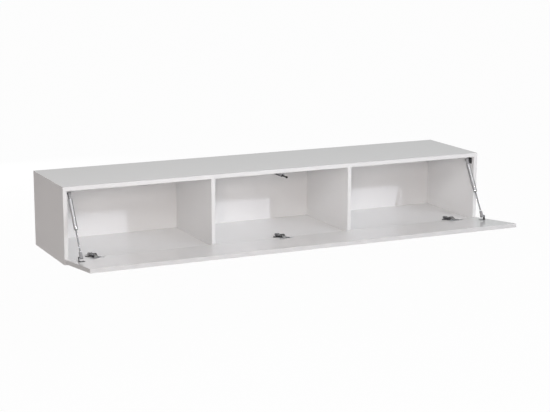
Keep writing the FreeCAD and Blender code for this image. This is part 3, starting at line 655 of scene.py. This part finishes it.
class CONSOLE_OT_flap(Operator):
    """Makes the flap, with a lacquered face on each side and a band glued round its edges. The outer face and the
    free edge's band are greyer copies of the lacquer and the band: painted shade
    """

    bl_idname = "console.flap"
    bl_label = "Flap"

    def execute(self, context):
        chosen = context.scene.console_finishes
        flap = eased("flap_panel", context.scene.console_sizes.flap_ease)
        # The inner face keeps the board's own lacquer, the first material.
        # The free edge's band and the outer face are greyer copies of the edge band and the lacquer: painted
        # shade.
        free_edge_painted_shade, other_edges, outer_face_painted_shade = 1, 2, 3
        for finish in (
            edge_banding(chosen.flap_edge_painted_shade_hex, chosen.flap_edge_buffed_less_painted_shade_hex),
            finish_of("white_edge_band"),
            gloss_lacquer(chosen.flap_face_painted_shade_hex, chosen.flap_face_thin_film_painted_shade_hex),
        ):
            flap.data.materials.append(finish)
        # Only the inner face has holes, so the outer one is the larger.
        outward = max(flap.data.polygons, key=lambda polygon: polygon.area).normal.copy()
        # Rounded arrises go with the face that they lean to, and upright walls with the bands.
        lean, forward = 0.3, -0.5
        for polygon in flap.data.polygons:
            facing = polygon.normal.dot(outward)
            if facing > lean:
                polygon.material_index = outer_face_painted_shade
            elif facing > -lean:
                in_front = polygon.normal.y < forward
                polygon.material_index = free_edge_painted_shade if in_front else other_edges
        return {"FINISHED"}


class CONSOLE_OT_fittings(Operator):
    """Rounds the pressed, cast and moulded edges of the hinges, struts, latch and hangers"""

    bl_idname = "console.fittings"
    bl_label = "Fittings"

    def execute(self, context):
        for name in FITTINGS:
            # The cups take the screws' bright zinc finish: painted light, so that they read brighter than the
            # darker-painted arms.
            slot = "zinc_screw" if name.endswith("_hinge_cup") else None
            eased(name, context.scene.console_sizes.fitting_ease, slot)
        return {"FINISHED"}


class CONSOLE_OT_screws(Operator):
    """Sinks a cross recess into the head of every screw in sight"""

    bl_idname = "console.screws"
    bl_label = "Screws"

    def execute(self, context):
        ease = context.scene.console_sizes.screw_ease
        recessed_screws("carcass_wood_screws", ease, WOOD_SCREW_RECESS)
        recessed_screws("flap_wood_screws", ease, WOOD_SCREW_RECESS)
        # The arm screws are wider than long, so their tips don't tell which way they face.
        recessed_screws("hinge_arm_screws", ease, ARM_SCREW_RECESS, Vector((0, 0, 1)))
        return {"FINISHED"}


class CONSOLE_OT_strut_tubes(Operator):
    """Makes the struts' pressure tubes with their rolled mouths, crimped grooves and wiper rings"""

    bl_idname = "console.strut_tubes"
    bl_label = "Strut tubes"

    # Radius and distance from the upper ball in millimetres: stub, domed head, plain tube, groove
    # crimped in to hold the rod guide, mouth rolled in over the seal, and the bore.
    tube = (
        (0, 9.7), (2.9, 9.7), (2.9, 21.5), (5.6, 21.5), (6.9, 22), (7.5, 23.5), (7.5, 136.9),
        (7.2, 137.6), (6.9, 138.1), (7.2, 138.6), (7.5, 139.3), (7.5, 142.9), (7.0, 144.1),
        (6.0, 144.7), (4.2, 144.7), (4.2, 143.5), (3.25, 143.5), (3.25, 136.7), (6.3, 136.7),
        (6.3, 25.5), (0, 25.5),
    )
    wiper = (
        (3.06, 143.7), (4.15, 143.7), (4.15, 144.9), (3.7, 145.4), (3.2, 145.4), (3.06, 145),
        (3.06, 143.7),
    )

    def execute(self, context):
        way = -Vector(JOINTS["left_strut_stroke"]["axis"]).normalized()
        for side in SIDES:
            # The strut swings about its upper ball.
            ball = Vector(JOINTS[side + "_strut_swing"]["pos_m"])
            node = f"{side}_strut_tube"
            body = BODY_OF[node]
            tube = lathed(self.tube, ball, way)
            placed(tube, node + "_rolled", body, "strut_tube_metal", (node,))
            wiper = lathed(self.wiper, ball, way)
            placed(wiper, f"{side}_strut_wiper", body, "black_rubber")
        return {"FINISHED"}


# ---- Stage ----
FLOOR_REACH = 30.0
MIDDLE = (0, -0.3, -0.1)
# Each lamp's name, place, target, width and height, power in watts, colour, and whether glossy
# faces mirror it. The key lamp lights the bays from the right and casts their shadows, the
# softboxes fill in from the front, the right and the back, and the strip is a narrow light for
# gloss and metal to mirror.
LAMPS = (
    ("key_lamp", (2.76, -5.72, 2.54), MIDDLE, (0.15, 0.3), 97, "F3F6FF", True),
    ("front_softbox", (-2.53, -5.72, 1.3), MIDDLE, (1.6, 1.2), 95, "FFF5F1", False),
    ("right_softbox", (3.6, -4.2, 1.6), MIDDLE, (2.0, 1.6), 50, "FFFFFF", False),
    ("back_softbox", (0, 5.0, 0), (0, 0, -0.08), (1.6, 0.8), 45, "FFFEFC", False),
    ("high_strip", (-0.85, -3.0, 1.8), (0.2, -0.3, -0.1), (0.1, 1.0), 33, "FFFFFF", True),
)
# The room's light: its level, how it grows along each axis, and its tones at left and right.
ROOM_LEVEL = 0.320
ROOM_SLOPE = (-0.038, 0.253, 0)
ROOM_TONES = ("FFEFEB", "F3FEFF")


def whiteness(tree, camera_share, mirror_share):
    """How far the stage is turned to plain white for the camera's rays and for mirrored ones."""
    rays = add_node(tree, "ShaderNodeLightPath").outputs
    straight = {0: rays["Is Camera Ray"], 1: rays["Is Transmission Ray"]}
    direct = add_node(tree, "ShaderNodeMath", straight, operation="MAXIMUM").outputs[0]
    seen = add_node(tree, "ShaderNodeMath", {0: direct, 1: camera_share}, operation="MULTIPLY")
    glossy = {0: rays["Is Glossy Ray"], 1: mirror_share}
    mirrored = add_node(tree, "ShaderNodeMath", glossy, operation="MULTIPLY")
    return add_node(tree, "ShaderNodeMath", {0: seen.outputs[0], 1: mirrored.outputs[0]}).outputs[0]


def studio_room(scene):
    """The room: light that grows toward the wall and to the left, warm from the left and cool
    from the right, and plain white to the eye. Gloss mirrors it white from above and a quarter
    white from behind the console."""
    world = bpy.data.worlds.new("studio_room")
    world.use_nodes = True
    tree = world.node_tree
    tree.nodes.clear()
    toward = add_node(tree, "ShaderNodeTexCoord").outputs["Generated"]
    slope = {0: toward, 1: ROOM_SLOPE}
    more = add_node(tree, "ShaderNodeVectorMath", slope, operation="DOT_PRODUCT").outputs["Value"]
    strength = add_node(tree, "ShaderNodeMath", {0: more, 1: ROOM_LEVEL}).outputs[0]
    parts = add_node(tree, "ShaderNodeSeparateXYZ", {0: toward}).outputs
    across = {"Value": parts["X"], "From Min": -1.0, "From Max": 1.0}
    side = add_node(tree, "ShaderNodeMapRange", across).outputs["Result"]
    tones = {"Factor": side, "A": linear(ROOM_TONES[0]), "B": linear(ROOM_TONES[1])}
    tone = add_node(tree, "ShaderNodeMix", tones, data_type="RGBA").outputs["Result"]
    light = add_node(tree, "ShaderNodeBackground", {"Color": tone, "Strength": strength})
    white = add_node(
        tree, "ShaderNodeBackground", {"Color": linear("FFFFFF"), "Strength": 1.0}
    )
    high = {"Value": parts["Z"], "From Min": 0.4, "From Max": 0.6}
    above = add_node(tree, "ShaderNodeMapRange", high).outputs[0]
    back = {"Value": parts["Y"], "From Min": 0.0, "From Max": 0.3, "To Max": 0.25}
    behind = add_node(tree, "ShaderNodeMapRange", back).outputs[0]
    whiter = add_node(tree, "ShaderNodeMath", {0: above, 1: behind}, operation="MAXIMUM")
    share = whiteness(tree, 1.0, whiter.outputs[0])
    mixed = add_node(
        tree, "ShaderNodeMixShader", {0: share, 1: light.outputs[0], 2: white.outputs[0]}
    )
    add_node(tree, "ShaderNodeOutputWorld", {"Surface": mixed.outputs[0]})
    scene.world = world


def floor_material():
    """A pale painted floor that reads almost white and keeps a light shadow."""
    material, tree = new_material("pale_painted_floor")
    paint = add_node(
        tree, "ShaderNodeBsdfDiffuse", {"Color": linear("D6D6D6"), "Roughness": 0.0}
    )
    glow = add_node(tree, "ShaderNodeEmission", {"Color": linear("FFFFFF"), "Strength": 1.0})
    share = whiteness(tree, 0.975, 0.25)
    mixed = add_node(
        tree, "ShaderNodeMixShader", {0: share, 1: paint.outputs[0], 2: glow.outputs[0]}
    )
    add_node(tree, "ShaderNodeOutputMaterial", {"Surface": mixed.outputs[0]})
    return material


def floor_plane(scene, height):
    """The studio's floor, far wider than the console, at a height."""
    shape = bmesh.new()
    bmesh.ops.create_grid(shape, x_segments=1, y_segments=1, size=FLOOR_REACH)
    bmesh.ops.translate(shape, vec=(0, 0, height), verts=shape.verts)
    mesh = bpy.data.meshes.new("floor")
    shape.to_mesh(mesh)
    shape.free()
    mesh.materials.append(floor_material())
    floor = bpy.data.objects.new("floor", mesh)
    scene.collection.objects.link(floor)


def lamp(scene, name, place, target, size, power, colour, mirrored):
    """A rectangular lamp at a place, turned to a target."""
    light = bpy.data.lights.new(name, "AREA")
    light.shape = "RECTANGLE"
    light.size, light.size_y = size
    light.energy = power
    light.color = linear(colour)[:3]
    made = bpy.data.objects.new(name, light)
    made.location = place
    made.rotation_euler = (Vector(target) - Vector(place)).to_track_quat("-Z", "Y").to_euler()
    made.visible_glossy = mirrored
    scene.collection.objects.link(made)


class CONSOLE_OT_stage(Operator):
    """Sets the floor, the room's light, the lamps and the camera"""

    bl_idname = "console.stage"
    bl_label = "Set the stage"

    def execute(self, context):
        scene = context.scene
        chosen = scene.console_stage
        scene.view_settings.view_transform = "Standard"
        studio_room(scene)
        floor_plane(scene, CAD_BOX[0].z - chosen.floor_drop)
        for row in LAMPS:
            lamp(scene, *row)
        data = bpy.data.cameras.new("camera")
        data.sensor_width = 36.0
        data.lens = chosen.lens
        camera = bpy.data.objects.new("camera", data)
        camera.location = chosen.camera_place
        camera.rotation_euler = (math.radians(90) - chosen.camera_tilt, 0, -chosen.camera_pan)
        scene.collection.objects.link(camera)
        scene.camera = camera
        return {"FINISHED"}


class CONSOLE_PT_panel(Panel):
    """Lists the console's steps in the sidebar"""

    bl_idname = "CONSOLE_PT_panel"
    bl_label = "Media console"
    bl_space_type = "VIEW_3D"
    bl_region_type = "UI"
    bl_category = "Console"

    def draw(self, context):
        for step in STEPS:
            self.layout.operator(step.bl_idname)


STEPS = (
    CONSOLE_OT_finish_nodes, CONSOLE_OT_boards, CONSOLE_OT_edge_bands, CONSOLE_OT_flap,
    CONSOLE_OT_fittings, CONSOLE_OT_screws, CONSOLE_OT_strut_tubes, CONSOLE_OT_stage,
)
CLASSES = (ConsoleFinishes, ConsoleSizes, ConsoleStage) + STEPS + (CONSOLE_PT_panel,)


def register():
    for each in CLASSES:
        bpy.utils.register_class(each)
    bpy.types.Scene.console_finishes = PointerProperty(type=ConsoleFinishes)
    bpy.types.Scene.console_sizes = PointerProperty(type=ConsoleSizes)
    bpy.types.Scene.console_stage = PointerProperty(type=ConsoleStage)


def unregister():
    del bpy.types.Scene.console_stage
    del bpy.types.Scene.console_sizes
    del bpy.types.Scene.console_finishes
    for each in reversed(CLASSES):
        bpy.utils.unregister_class(each)


def main():
    register()
    bpy.ops.console.finish_nodes()
    bpy.ops.console.boards()
    bpy.ops.console.edge_bands()
    bpy.ops.console.flap()
    bpy.ops.console.fittings()
    bpy.ops.console.screws()
    bpy.ops.console.strut_tubes()
    bpy.ops.console.stage()


if __name__ == "__main__":
    main()
